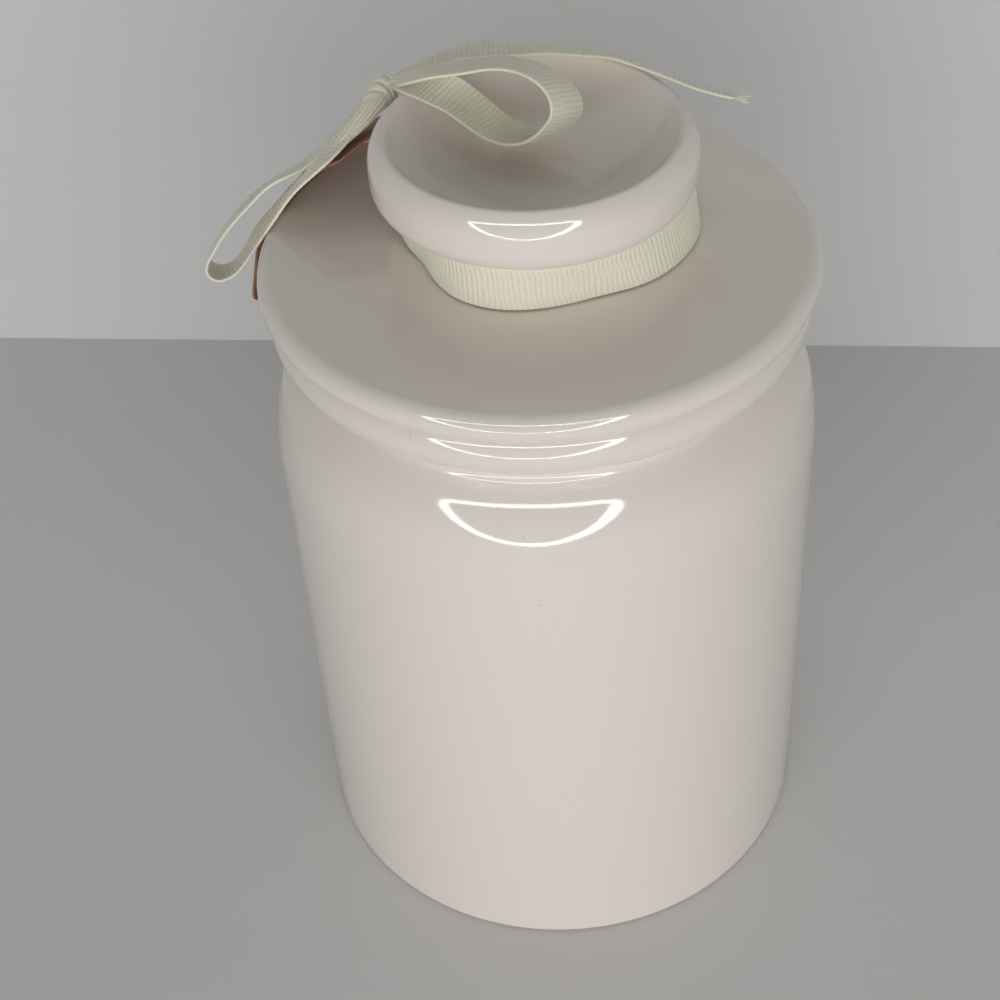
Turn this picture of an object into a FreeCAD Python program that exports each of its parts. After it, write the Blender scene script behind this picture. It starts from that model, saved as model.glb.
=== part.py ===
import FreeCAD, Part
import math
import os
import Sketcher
from FreeCAD import Placement, Rotation, Vector

# Garlic keeper: a glazed stoneware jar with a lift-off lid.  A grosgrain ribbon is tied
# round the neck of the lid's dished knob and carries a plain kraft tag.
# Origin: middle of the foot, on the ground.  +Z up, the front of the jar faces -Y.

# Driving dimensions: millimetres and degrees.
SIZES = {
    # jar
    "jar_height": 142.8,
    "jar_radius": 55.0,
    "jar_wall": 4.8,
    "jar_floor": 6.0,
    "foot_round": 1.2,
    "floor_corner": 7.0,
    "rim_inset": 2.3,
    "rim_roll": 4.6,
    "rim_underside": 55.0,
    "neck_inset": 9.8,
    "neck_hollow": 2.2,
    "shoulder_bend": 38.0,
    "shoulder_turn": 18.0,
    "shoulder_slope": 57.0,
    "mouth_flare": 25.0,
    "mouth_round": 1.5,
    # lid
    "lid_overhang": 1.3,
    "lid_thickness": 5.9,
    "ring_depth": 9.0,
    "ring_thickness": 4.0,
    "ring_clearance": 0.9,
    # knob
    "knob_height": 25.0,
    "knob_radius": 30.55,
    "knob_neck_radius": 20.5,
    "knob_neck_height": 4.3,
    "knob_flare_bend": 9.0,
    "knob_wall_start": 17.3,
    "knob_rim_roll": 3.6,
    "dish_depth": 10.0,
    "dish_floor_radius": 8.0,
    # tag
    "tag_width": 32.0,
    "tag_thickness": 0.5,
    "tag_top_width": 10.0,
    "tag_clip_length": 9.7,
    "tag_direction": 165.0,
    "tag_offset": 17.3,
    "tag_top_drop": 6.9,
    "tag_middle_slope": 56.0,
    "tag_tail_slope": 84.0,
    "tag_fold_radius": 40.0,
    "tag_fold_reach": 10.53,
    "tag_hem_radius": 9.0,
    "tag_middle_length": 10.0,
    "tag_tail_length": 12.0,
    "tag_corner": 4.0,
    "tag_gap": 0.45,
    "tag_top_gap": 0.9,
    "hole_radius": 2.5,
    "hole_from_end": 3.5,
    # ribbon
    "ribbon_width": 10.0,
    "ribbon_thickness": 0.5,
    "ribbon_clearance": 0.55,
    "loop_direction": 168.0,
    "tail_direction": 35.0,
    "band_lift": 0.42,
    "band_outside": 2.4,
    "knot_radius": 3.0,
    "knot_rise": 3.9,
    "stem_radius": 1.9,
    "stem_drop": 2.4,
}

doc = FreeCAD.newDocument("garlic_keeper")
sheet = doc.addObject("Spreadsheet::Sheet", "Sizes")
for row, (alias, number) in enumerate(SIZES.items(), start=1):
    sheet.set("A%d" % row, alias)
    sheet.set("B%d" % row, str(number))
    sheet.setAlias("B%d" % row, alias)
doc.recompute()


class Size:
    """A number together with the spreadsheet formula that gives it."""

    def __init__(self, number, formula):
        self.number = float(number)
        self.formula = formula

    def __add__(self, other):
        other = asSize(other)
        return Size(self.number + other.number, "(%s + %s)" % (self.formula, other.formula))

    def __sub__(self, other):
        other = asSize(other)
        return Size(self.number - other.number, "(%s - %s)" % (self.formula, other.formula))

    def __mul__(self, other):
        other = asSize(other)
        return Size(self.number * other.number, "(%s * %s)" % (self.formula, other.formula))

    def __truediv__(self, other):
        other = asSize(other)
        return Size(self.number / other.number, "(%s / %s)" % (self.formula, other.formula))


def asSize(value):
    return value if isinstance(value, Size) else Size(value, repr(float(value)))


def sine(angle):
    return Size(math.sin(math.radians(angle.number)), "sin(%s)" % angle.formula)


def cosine(angle):
    return Size(math.cos(math.radians(angle.number)), "cos(%s)" % angle.formula)


def tangent(angle):
    return Size(math.tan(math.radians(angle.number)), "tan(%s)" % angle.formula)


def arctangent(ratio):
    return Size(math.degrees(math.atan(ratio.number)), "(atan(%s) / 1 deg)" % ratio.formula)


def root(square):
    return Size(math.sqrt(square.number), "sqrt(%s)" % square.formula)


def cell(alias):
    return Size(sheet.get(alias), "Sizes." + alias)


ZERO = asSize(0)


def originPlane(body, role):
    return next(item for item in body.Origin.OriginFeatures if item.Role == role)


def arcBetween(start, end, radius, turnsLeft):
    """Short arc from start to end; turning left puts its centre on the left."""
    chord = end - start
    middle = (start + end) * 0.5
    left = Vector(-chord.y, chord.x, 0).normalize()
    rise = math.sqrt(max(radius * radius - chord.Length ** 2 / 4, 0.0))
    centre = middle + left * (rise if turnsLeft else -rise)
    first, last = (start, end) if turnsLeft else (end, start)
    angles = [math.atan2(point.y - centre.y, point.x - centre.x) for point in (first, last)]
    if angles[1] < angles[0]:
        angles[1] += 2 * math.pi
    return Part.ArcOfCircle(Part.Circle(centre, Vector(0, 0, 1), radius), *angles)


def outline(body, name, role, corners):
    """Closed sketch.  Each corner is (across, up) or (across, up, radius, turnsLeft), where
    the last two describe an arc that arrives at the corner.  Every corner is tied to the sheet."""
    sketch = body.newObject("Sketcher::SketchObject", name)
    sketch.AttachmentSupport = [(originPlane(body, role), "")]
    sketch.MapMode = "FlatFace"
    spots = [Vector(corner[0].number, corner[1].number, 0) for corner in corners]
    ends = []
    for index, corner in enumerate(corners):
        start, end = spots[index - 1], spots[index]
        if len(corner) == 2:
            sketch.addGeometry(Part.LineSegment(start, end), False)
            ends.append((1, 2))
            continue
        sketch.addGeometry(arcBetween(start, end, corner[2].number, corner[3]), False)
        ends.append((1, 2) if corner[3] else (2, 1))
    for index, corner in enumerate(corners):
        following = (index + 1) % len(corners)
        sketch.addConstraint(
            Sketcher.Constraint("Coincident", index, ends[index][1], following, ends[following][0]))
    for index, corner in enumerate(corners):
        for kind, axis, size in (("DistanceX", -2, corner[0]), ("DistanceY", -1, corner[1])):
            if size is ZERO:
                sketch.addConstraint(
                    Sketcher.Constraint("PointOnObject", index, ends[index][1], axis))
                continue
            place = sketch.addConstraint(
                Sketcher.Constraint(kind, -1, 1, index, ends[index][1], size.number))
            label = "%s%dat" % ("across" if kind == "DistanceX" else "up", index)
            sketch.renameConstraint(place, label)
            sketch.setExpression("Constraints." + label, size.formula)
        if len(corner) == 4:
            place = sketch.addConstraint(Sketcher.Constraint("Radius", index, corner[2].number))
            label = "bend%dat" % index
            sketch.renameConstraint(place, label)
            sketch.setExpression("Constraints." + label, corner[2].formula)
    return sketch


def revolved(name, corners):
    body = doc.addObject("PartDesign::Body", name)
    body.Label = name
    sketch = outline(body, name + "_profile", "XZ_Plane", corners)
    turned = body.newObject("PartDesign::Revolution", name + "_turned")
    turned.Profile = sketch
    turned.ReferenceAxis = (sketch, ["V_Axis"])
    turned.Angle = 360
    sketch.Visibility = False
    return body


# Jar, worked out from the rim down: the rolled rim, the hollow neck, two shoulder bends.
# Each bend is tangent to the next, and the inside follows one wall thickness away.
jarTop = cell("jar_height")
jarRadius = cell("jar_radius")
wall = cell("jar_wall")
roll = cell("rim_roll")
hollow = cell("neck_hollow")
underside = cell("rim_underside")
turn = cell("shoulder_turn")
slope = cell("shoulder_slope")
footRound = cell("foot_round")
floorCorner = cell("floor_corner")
lowBend = cell("shoulder_bend")

rimRadius = jarRadius - cell("rim_inset")
neckRadius = jarRadius - cell("neck_inset")
rollAcross = rimRadius - roll
rollUp = jarTop - roll
neckAcross = neckRadius + hollow
neckUp = rollUp - ((rollAcross - neckAcross) * cosine(underside) + hollow + roll) / sine(underside)
shoulderTopAcross = neckAcross - hollow * cosine(slope)
shoulderTopUp = neckUp - hollow * sine(slope)
lowDrop = lowBend * (asSize(1) - cosine(turn))
highBend = (jarRadius - shoulderTopAcross - lowDrop) / (cosine(turn) - cosine(slope))
shoulderMiddleUp = shoulderTopUp - highBend * (sine(slope) - sine(turn))
shoulderMiddleAcross = jarRadius - lowDrop
shoulderStart = shoulderMiddleUp - lowBend * sine(turn)
insideMiddleAcross = shoulderMiddleAcross - wall * cosine(turn)
insideMiddleUp = shoulderMiddleUp - wall * sine(turn)
insideTopAcross = shoulderTopAcross - wall * cosine(slope)
insideTopUp = shoulderTopUp - wall * sine(slope)
flare = cell("mouth_flare")
throat = hollow + wall
throatAcross = neckAcross - throat * cosine(flare)
throatUp = neckUp + throat * sine(flare)
mouthRound = cell("mouth_round")
mouthAcross = throatAcross + (mouthRound + (jarTop - mouthRound - throatUp) * sine(flare)) / cosine(flare)

jar = revolved("jar_body", [
    (ZERO, ZERO),
    (jarRadius - footRound, ZERO),
    (jarRadius, footRound, footRound, True),
    (jarRadius, shoulderStart),
    (shoulderMiddleAcross, shoulderMiddleUp, lowBend, True),
    (shoulderTopAcross, shoulderTopUp, highBend, True),
    (neckAcross - hollow * cosine(underside), neckUp + hollow * sine(underside), hollow, False),
    (rollAcross + roll * cosine(underside), rollUp - roll * sine(underside)),
    (rollAcross + roll, rollUp, roll, True),
    (rollAcross, jarTop, roll, True),
    (mouthAcross, jarTop),
    (mouthAcross - mouthRound * cosine(flare),
     jarTop - mouthRound + mouthRound * sine(flare), mouthRound, True),
    (throatAcross, throatUp),
    (insideTopAcross, insideTopUp, throat, True),
    (insideMiddleAcross, insideMiddleUp, highBend - wall, False),
    (jarRadius - wall, shoulderStart, lowBend - wall, False),
    (jarRadius - wall, cell("jar_floor") + floorCorner),
    (jarRadius - wall - floorCorner, cell("jar_floor"), floorCorner, False),
    (ZERO, cell("jar_floor")),
])

# Lid and knob, one casting: a round-edged disc with a locating ring below and a dished knob.
edge = cell("lid_thickness") / 2
lidUnder = jarTop
lidTop = jarTop + cell("lid_thickness")
lidRadius = rimRadius + cell("lid_overhang")
ringHalf = cell("ring_thickness") / 2
ringOuter = neckRadius - wall - cell("ring_clearance")
ringInner = ringOuter - cell("ring_thickness")
ringEnd = lidUnder - cell("ring_depth")

knobTop = lidTop + cell("knob_height")
knobRadius = cell("knob_radius")
knobNeck = cell("knob_neck_radius")
flareBend = cell("knob_flare_bend")
flareStart = lidTop + cell("knob_neck_height")
wallStart = lidTop + cell("knob_wall_start")
widening = knobRadius - knobNeck
rising = wallStart - flareStart
# an S of two bends, one hollow and one full, both turning through the same angle
bothBends = (widening * widening + rising * rising) / (widening * 2)
swing = rising / bothBends
reach = asSize(1) - widening / bothBends
flareEndAcross = knobNeck + flareBend * (asSize(1) - reach)
flareEndUp = flareStart + flareBend * swing

knobRoll = cell("knob_rim_roll")
rimAcross = knobRadius - knobRoll
rimUp = knobTop - knobRoll
dishFloor = knobTop - cell("dish_depth")
dishFlat = cell("dish_floor_radius")
rimToFloor = rimUp - dishFloor
rimToFlat = rimAcross - dishFlat
dishBend = (rimToFlat * rimToFlat + rimToFloor * rimToFloor - knobRoll * knobRoll) / (
    (knobRoll + rimToFloor) * 2)
dishEdgeAcross = rimAcross - knobRoll * rimToFlat / (dishBend + knobRoll)
dishEdgeUp = rimUp + knobRoll * (dishBend - rimToFloor) / (dishBend + knobRoll)

lid = revolved("lid", [
    (ZERO, lidUnder),
    (ringInner, lidUnder),
    (ringInner, ringEnd + ringHalf),
    (ringInner + ringHalf, ringEnd, ringHalf, True),
    (ringOuter, ringEnd + ringHalf, ringHalf, True),
    (ringOuter, lidUnder),
    (lidRadius - edge, lidUnder),
    (lidRadius, lidUnder + edge, edge, True),
    (lidRadius - edge, lidTop, edge, True),
    (knobNeck, lidTop),
    (knobNeck, flareStart),
    (flareEndAcross, flareEndUp, flareBend, False),
    (knobRadius, wallStart, bothBends - flareBend, True),
    (knobRadius, rimUp),
    (rimAcross, knobTop, knobRoll, True),
    (dishEdgeAcross, dishEdgeUp, knobRoll, True),
    (dishFlat, dishFloor, dishBend, False),
    (ZERO, dishFloor),
])

# Tag: one strip of card that hangs off the ribbon and folds down over the lid's edge.
# Its side view is drawn in its own upright plane, out from the lid's axis.
halfCard = cell("tag_thickness") / 2
middleSlope = cell("tag_middle_slope")
tailSlope = cell("tag_tail_slope")
foldRadius = cell("tag_fold_radius")
hemRadius = cell("tag_hem_radius")
offset = cell("tag_offset")
halfTop = cell("tag_top_width") / 2
innerCorner = offset - halfTop
tagTopAcross = root(knobRadius * knobRadius - innerCorner * innerCorner) + cell("tag_top_gap")
tagTopUp = knobTop - cell("tag_top_drop")
# the middle slope clears the lid's round edge by the gap; the top slope runs from the knob
# down to where the middle slope begins
standOff = edge + cell("tag_gap") + halfCard
meetAcross = (lidRadius - edge + standOff * sine(middleSlope)
              - cell("tag_fold_reach") * cosine(middleSlope))
meetUp = (lidUnder + edge + standOff * cosine(middleSlope)
          + cell("tag_fold_reach") * sine(middleSlope))
topAcross, topDrop = meetAcross - tagTopAcross, tagTopUp - meetUp
topSlope = arctangent(topDrop / topAcross)
topLength = root(topAcross * topAcross + topDrop * topDrop) - foldRadius * tangent(
    (middleSlope - topSlope) / 2)


def follow(point, slopeNow, distance):
    return (point[0] + distance * cosine(slopeNow), point[1] - distance * sine(slopeNow))


def bend(point, slopeNow, slopeNext, radius):
    return (point[0] + radius * (sine(slopeNext) - sine(slopeNow)),
            point[1] - radius * (cosine(slopeNow) - cosine(slopeNext)))


def beside(point, slopeNow, distance):
    return (point[0] + distance * sine(slopeNow), point[1] + distance * cosine(slopeNow))


tagTop = (tagTopAcross, tagTopUp)
foldStart = follow(tagTop, topSlope, topLength)
foldEnd = bend(foldStart, topSlope, middleSlope, foldRadius)
hemStart = follow(foldEnd, middleSlope, cell("tag_middle_length"))
hemEnd = bend(hemStart, middleSlope, tailSlope, hemRadius)
tagEnd = follow(hemEnd, tailSlope, cell("tag_tail_length"))
outward, inward = halfCard, halfCard * -1

tag = doc.addObject("PartDesign::Body", "hang_tag")
tag.Label = "hang_tag"
tagSide = outline(tag, "tag_side", "XZ_Plane", [
    beside(tagTop, topSlope, outward),
    beside(tagTop, topSlope, inward),
    beside(foldStart, topSlope, inward),
    beside(foldEnd, middleSlope, inward) + (foldRadius - halfCard, False),
    beside(hemStart, middleSlope, inward),
    beside(hemEnd, tailSlope, inward) + (hemRadius - halfCard, False),
    beside(tagEnd, tailSlope, inward),
    beside(tagEnd, tailSlope, outward),
    beside(hemEnd, tailSlope, outward),
    beside(hemStart, middleSlope, outward) + (hemRadius + halfCard, True),
    beside(foldEnd, middleSlope, outward),
    beside(foldStart, topSlope, outward) + (foldRadius + halfCard, True),
])
card = tag.newObject("PartDesign::Pad", "tag_card")
card.Profile = tagSide
card.Midplane = True
card.setExpression("Length", "Sizes.tag_width")
tagSide.Visibility = False
doc.recompute()


# seen from above, the top corners are cut off slantwise
halfTag = cell("tag_width") / 2
clipEnd = tagTopAcross + cell("tag_clip_length")
clipSketch = outline(tag, "tag_clip_outline", "XY_Plane", [
    (tagTopAcross, halfTop),
    (clipEnd, halfTag),
    (clipEnd, halfTag * 2),
    (tagTopAcross - halfTop, halfTag * 2),
    (tagTopAcross - halfTop, halfTop),
])
clip = tag.newObject("PartDesign::Pocket", "tag_clipped_corner")
clip.Profile = clipSketch
clip.Type = "ThroughAll"
clip.Midplane = True
clipSketch.Visibility = False
bothClips = tag.newObject("PartDesign::Mirrored", "tag_both_corners")
bothClips.Originals = [clip]
bothClips.MirrorPlane = (originPlane(tag, "XZ_Plane"), [""])
tag.Tip = bothClips
doc.recompute()

endCorners = []
for number, line in enumerate(bothClips.Shape.Edges, start=1):
    middle = line.CenterOfMass
    atEnd = math.hypot(middle.x - tagEnd[0].number, middle.z - tagEnd[1].number) < 0.1
    if atEnd and abs(abs(middle.y) - halfTag.number) < 0.01:
        endCorners.append("Edge%d" % number)
rounded = tag.newObject("PartDesign::Fillet", "tag_round_corners")
rounded.Base = (bothClips, endCorners)
rounded.setExpression("Radius", "Sizes.tag_corner")
doc.recompute()

# the hole's sketch lies square to the card's top slope
hole = follow(tagTop, topSlope, cell("hole_from_end"))
holeSketch = tag.newObject("Sketcher::SketchObject", "tag_hole_circle")
holeSketch.AttachmentSupport = [(originPlane(tag, "XY_Plane"), "")]
holeSketch.MapMode = "FlatFace"
holeSketch.addGeometry(Part.Circle(Vector(0, 0, 0), Vector(0, 0, 1), SIZES["hole_radius"]), False)
holeSketch.addConstraint(Sketcher.Constraint("Coincident", 0, 3, -1, 1))
holeSketch.addConstraint(Sketcher.Constraint("Radius", 0, SIZES["hole_radius"]))
holeSketch.renameConstraint(1, "holeRadius")
holeSketch.setExpression("Constraints.holeRadius", "Sizes.hole_radius")
holeSketch.AttachmentOffset = Placement(
    Vector(hole[0].number, 0, hole[1].number), Rotation(Vector(0, 1, 0), topSlope.number))
punched = tag.newObject("PartDesign::Pocket", "tag_hole")
punched.Profile = holeSketch
punched.Type = "Length"
punched.Midplane = True
punched.setExpression("Length", "Sizes.tag_thickness * 6")
holeSketch.Visibility = False
doc.recompute()

# the upright plane is turned to the tag's direction and stands beside the lid's axis
towards = Rotation(Vector(0, 0, 1), SIZES["tag_direction"])
sideways = towards.multVec(Vector(0, 1, 0))
tag.Placement = Placement(sideways * -SIZES["tag_offset"], towards)

# Knot: a round wrap on a short stem that passes square through the tag's hole.
knotRadius = cell("knot_radius")
stemRadius = cell("stem_radius")
knotRise = cell("knot_rise")
stemEnd = cell("stem_drop") * -1
knotFoot = knotRise - root(knotRadius * knotRadius - stemRadius * stemRadius)
knot = revolved("ribbon_knot", [
    (ZERO, stemEnd),
    (stemRadius, stemEnd),
    (stemRadius, knotFoot),
    (knotRadius, knotRise, knotRadius, True),
    (ZERO, knotRise + knotRadius, knotRadius, True),
])
holeSpot = tag.Placement.multVec(Vector(hole[0].number, 0, hole[1].number))
lean = towards.multiply(Rotation(Vector(0, 1, 0), topSlope.number))
knot.Placement = Placement(holeSpot, lean)
knotSpot = knot.Placement.multVec(Vector(0, 0, SIZES["knot_rise"]))

# Ribbon: every run is a ruled strip between its two selvedges.
thickness = SIZES["ribbon_thickness"]
width = SIZES["ribbon_width"]


def ribbonRun(name, selvedges):
    """A strip of ribbon; selvedges is a list of pairs of points, one pair across each place."""
    sides = []
    for side in (0, 1):
        curve = Part.BSplineCurve()
        curve.interpolate([pair[side] for pair in selvedges])
        sides.append(curve.toShape())
    strip = Part.makeRuledSurface(sides[0], sides[1])
    strip = strip.makeOffsetShape(-thickness / 2, 0.01)
    solid = strip.makeOffsetShape(thickness, 0.01, fill=True)
    if solid.Volume < 0:
        solid.reverse()
    run = doc.addObject("Part::Feature", name)
    run.Label = name
    run.Shape = Part.Solid(solid.Shells[0]) if solid.ShapeType != "Solid" else solid
    run.Placement = Placement()
    return run


def placed(spot, points):
    """Pairs of selvedge points, given as offsets from a spot in tenths of the ribbon's width."""
    return [tuple(spot + Vector(*point) * (width / 10) for point in pair) for pair in points]


# Neck band: from the knot once round the knob's neck and back.  It hugs the neck at the front
# and stands outside the knob's rim at the back.  Each place is the direction round the lid,
# how far it stands out (0 on the neck, 1 outside the rim), how far it is lifted off the lid
# in tenths of the ribbon's width, and how much of that width is spread out.
BAND = [
    (146, 1.06, 11.7, 0.33),
    (152, 1.00, 9.4, 0.52),
    (160, 0.93, 7.6, 0.88),
    (170, 0.88, 5.2, 1.0),
    (182, 0.68, 2.7, 1.0),
    (194, 0.42, 0.9, 1.0),
    (206, 0.16, 0.1, 1.0),
    (226, 0.02, 0.0, 1.0),
    (250, 0.00, 0.0, 1.0),
    (275, 0.02, 0.0, 1.0),
    (300, 0.10, 0.0, 1.0),
    (323, 0.35, 0.0, 1.0),
    (340, 0.57, 0.0, 1.0),
    (358, 0.79, 0.0, 1.0),
    (376, 0.92, 0.0, 1.0),
    (396, 0.98, 0.0, 1.0),
    (422, 1.00, 0.0, 1.0),
    (447, 1.02, 0.3, 1.0),
    (466, 1.04, 1.7, 0.96),
    (480, 1.07, 5.2, 0.82),
    (487, 1.10, 9.0, 0.5),
    (491, 1.13, 11.8, 0.3),
]
overNeck = SIZES["ribbon_clearance"] + thickness / 2
lowHug = SIZES["knob_neck_radius"] + overNeck
flareRise = lidTop.number + SIZES["band_lift"] + width - flareStart.number
bendAt = SIZES["knob_flare_bend"]
highHug = lowHug + bendAt - math.sqrt(bendAt ** 2 - flareRise ** 2)
outside = SIZES["knob_radius"] + SIZES["band_outside"]
band = []
for direction, standsOut, lift, spread in BAND:
    way = Rotation(Vector(0, 0, 1), direction).multVec(Vector(1, 0, 0))
    low = lowHug + standsOut * (outside - lowHug)
    high = highHug + standsOut * (outside - highHug)
    base = lidTop.number + SIZES["band_lift"] + lift * width / 10
    height = math.sqrt((spread * width) ** 2 - (high - low) ** 2)
    band.append((way * low + Vector(0, 0, base), way * high + Vector(0, 0, base + height)))
ribbonRun("ribbon_neck_band", band)

# Front bow loop: over the knob's rim, round above the dish and back.
ribbonRun("ribbon_front_loop", placed(knotSpot, [
    ((2.0, -3.1, 1.9), (2.9, -1.0, 2.6)),
    ((4.2, -7.8, 5.3), (6.6, -4.2, 6.2)),
    ((9.8, -10.1, 7.6), (13.4, -5.1, 6.8)),
    ((16.2, -13.6, 10.2), (21.2, -7.0, 7.8)),
    ((20.5, -16.0, 11.9), (26.1, -8.7, 8.3)),
    ((25.1, -19.2, 12.6), (30.7, -12.0, 8.6)),
    ((28.9, -22.6, 11.8), (34.5, -15.4, 7.8)),
    ((30.8, -25.0, 10.1), (36.4, -17.8, 6.1)),
    ((30.6, -26.2, 7.7), (36.2, -19.0, 3.7)),
    ((28.9, -26.4, 5.0), (34.5, -19.2, 1.0)),
    ((26.5, -25.8, 2.6), (32.1, -18.4, -1.0)),
    ((23.3, -24.2, 1.2), (28.8, -16.8, -1.8)),
    ((19.6, -21.4, 1.0), (25.0, -14.2, -1.6)),
    ((16.4, -19.0, 1.7), (21.4, -12.2, -0.5)),
    ((12.8, -16.2, 3.4), (17.0, -10.0, 1.6)),
    ((9.8, -15.4, 5.4), (13.2, -10.0, 4.4)),
    ((7.0, -13.8, 6.1), (9.6, -9.2, 5.9)),
    ((4.0, -11.9, 6.0), (6.0, -8.1, 6.1)),
    ((1.8, -6.9, 3.9), (3.4, -4.3, 4.3)),
    ((0.8, -3.8, 2.0), (2.1, -2.0, 2.5)),
]))

# Long tail: along the back of the knob's rim, then on edge past its right.
backSpot = Vector(0, knobRadius.number, knobTop.number)
rightSpot = Rotation(Vector(0, 0, 1), SIZES["tail_direction"]).multVec(Vector(knobRadius.number, 0, 0))
rightSpot.z = knobTop.number
ribbonRun("ribbon_long_tail", placed(knotSpot, [
    ((2.6, 0.3, 2.2), (2.2, 2.4, 1.6)),
    ((7.0, -0.8, 5.8), (7.2, 3.2, 5.4)),
]) + placed(backSpot, [
    ((-14.9, -6.5, 1.7), (-14.3, 0.5, 0.3)),
    ((-7.9, -6.7, 1.9), (-7.6, 2.5, -0.2)),
    ((-1.6, -7.6, 2.1), (-1.4, 2.0, -0.2)),
    ((4.8, -7.7, 2.0), (5.0, 1.8, -0.4)),
    ((11.6, -8.9, 1.9), (12.1, 0.1, -0.4)),
]) + placed(rightSpot, [
    ((-8.8, 2.7, 1.7), (-7.8, 11.5, -1.9)),
    ((-5.0, 2.4, 0.8), (-4.1, 11.0, -4.0)),
    ((-0.2, -0.6, 0.1), (0.7, 8.0, -4.8)),
    ((5.6, -4.6, -0.9), (6.5, 4.0, -5.9)),
    ((13.8, -10.1, -2.1), (14.8, -1.5, -7.1)),
]))

# Hanging bow loop: out over the tag, down past the lid's edge and back.  Each place is a share
# of the way from the knot to the lid's edge and the selvedges' offsets from there.
edgeSpot = Rotation(Vector(0, 0, 1), SIZES["loop_direction"]).multVec(Vector(lidRadius.number, 0, 0))
edgeSpot.z = lidTop.number


def hung(places):
    pairs = []
    for share, near, far in places:
        pairs += placed(knotSpot + (edgeSpot - knotSpot) * share, [(near, far)])
    return pairs


ribbonRun("ribbon_hanging_loop", hung([
    (0.05, (-1.0, -3.5, 1.9), (-1.8, -1.5, 1.6)),
    (0.25, (-0.3, -2.8, 3.6), (-0.9, 2.4, 2.4)),
    (0.50, (0.2, -1.0, 4.8), (-0.6, 7.4, 2.5)),
    (0.75, (-1.1, 0.5, 5.4), (-2.1, 10.0, 3.0)),
    (1.00, (0.3, 2.8, 7.3), (-0.8, 12.3, 4.7)),
    (1.00, (-2.6, 1.7, 4.1), (-3.4, 11.2, 1.1)),
    (1.00, (-6.5, 0.3, 0.7), (-7.3, 9.8, -2.3)),
    (1.00, (-9.7, -1.0, -2.5), (-10.5, 8.5, -5.5)),
    (1.00, (-12.1, -2.1, -5.4), (-12.9, 7.4, -8.4)),
    (1.00, (-13.2, -2.8, -7.4), (-14.0, 6.7, -10.4)),
    (1.00, (-13.0, -3.2, -9.1), (-13.8, 6.3, -12.1)),
    (1.00, (-11.4, -3.5, -10.3), (-12.2, 6.0, -13.3)),
    (1.00, (-9.2, -3.3, -9.9), (-10.0, 6.2, -12.9)),
    (1.00, (-7.1, -2.5, -7.7), (-8.2, 7.0, -10.5)),
    (1.00, (-4.5, -1.4, -4.5), (-5.9, 8.1, -6.9)),
    (1.00, (-0.9, 0.1, -0.5), (-2.5, 9.7, -2.5)),
    (1.00, (1.9, 1.5, 2.7), (0.4, 11.0, 1.1)),
    (0.75, (-0.7, -0.4, 1.7), (-2.1, 8.5, 0.1)),
    (0.50, (-0.2, -1.6, 2.0), (-1.2, 4.6, 0.4)),
    (0.25, (-0.4, -3.0, 0.8), (-0.9, 0.6, -0.4)),
    (0.05, (-1.7, -3.9, -0.4), (-2.1, -1.9, -0.9)),
]))

# Short tail: lies between the hanging loop's two strands and ends in a slanting cut.
ribbonRun("ribbon_short_tail", hung([
    (0.05, (-1.4, -3.6, 0.8), (-2.0, -1.7, 0.4)),
    (0.25, (-0.4, -2.8, 2.2), (-1.0, 0.6, 1.3)),
    (0.50, (0.0, -1.3, 3.4), (-0.6, 3.7, 2.0)),
    (0.75, (1.1, 0.7, 5.0), (2.5, 4.9, 5.4)),
]))

doc.recompute()
NODES = ["jar_body", "lid", "ribbon_neck_band", "ribbon_knot", "ribbon_front_loop",
         "ribbon_long_tail", "ribbon_hanging_loop", "ribbon_short_tail", "hang_tag"]
for item in doc.Objects:
    if any(word in ("Invalid", "Error") for word in item.State):
        raise RuntimeError("%s failed: %s" % (item.Label, item.State))
solids = {}
for node in NODES:
    shape = doc.getObjectsByLabel(node)[0].Shape
    if shape.isNull() or not shape.isValid():
        raise RuntimeError(node + " is not a valid shape")
    solids[node] = shape
    print("%-20s volume %9.1f" % (node, shape.Volume))
if punched.Shape.Volume >= rounded.Shape.Volume:
    raise RuntimeError("the tag's hole cut nothing")
os.makedirs("parts", exist_ok=True)
for node, shape in solids.items():
    shape.exportStep("parts/%s.step" % node)
print("knot at", knotSpot, "hole at", holeSpot)
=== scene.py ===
import math

import bmesh
import bpy
import numpy as np
from mathutils import Matrix, Vector


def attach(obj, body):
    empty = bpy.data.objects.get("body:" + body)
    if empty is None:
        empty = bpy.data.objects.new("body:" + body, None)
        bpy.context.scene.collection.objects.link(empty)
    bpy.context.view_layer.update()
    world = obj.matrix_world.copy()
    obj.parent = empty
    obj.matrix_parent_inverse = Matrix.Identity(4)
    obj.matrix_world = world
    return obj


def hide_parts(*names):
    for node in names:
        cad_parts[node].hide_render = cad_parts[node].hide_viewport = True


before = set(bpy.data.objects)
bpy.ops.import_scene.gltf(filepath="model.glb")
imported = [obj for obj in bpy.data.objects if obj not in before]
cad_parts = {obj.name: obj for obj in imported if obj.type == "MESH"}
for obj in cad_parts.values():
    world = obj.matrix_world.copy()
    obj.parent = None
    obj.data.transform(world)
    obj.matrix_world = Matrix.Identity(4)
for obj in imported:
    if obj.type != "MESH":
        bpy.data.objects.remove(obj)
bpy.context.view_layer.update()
print("frame loaded")

mm = 0.001  # lengths below are in mm unless they are multiplied by this


def newObject(name, mesh):
    piece = bpy.data.objects.new(name, mesh)
    bpy.context.scene.collection.objects.link(piece)
    return piece


def meshFrom(name, points, faces):
    mesh = bpy.data.meshes.new(name)
    mesh.from_pydata([tuple(map(float, p)) for p in points], [], faces)
    mesh.polygons.foreach_set("use_smooth", [True] * len(faces))
    mesh.update()
    return mesh


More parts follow.
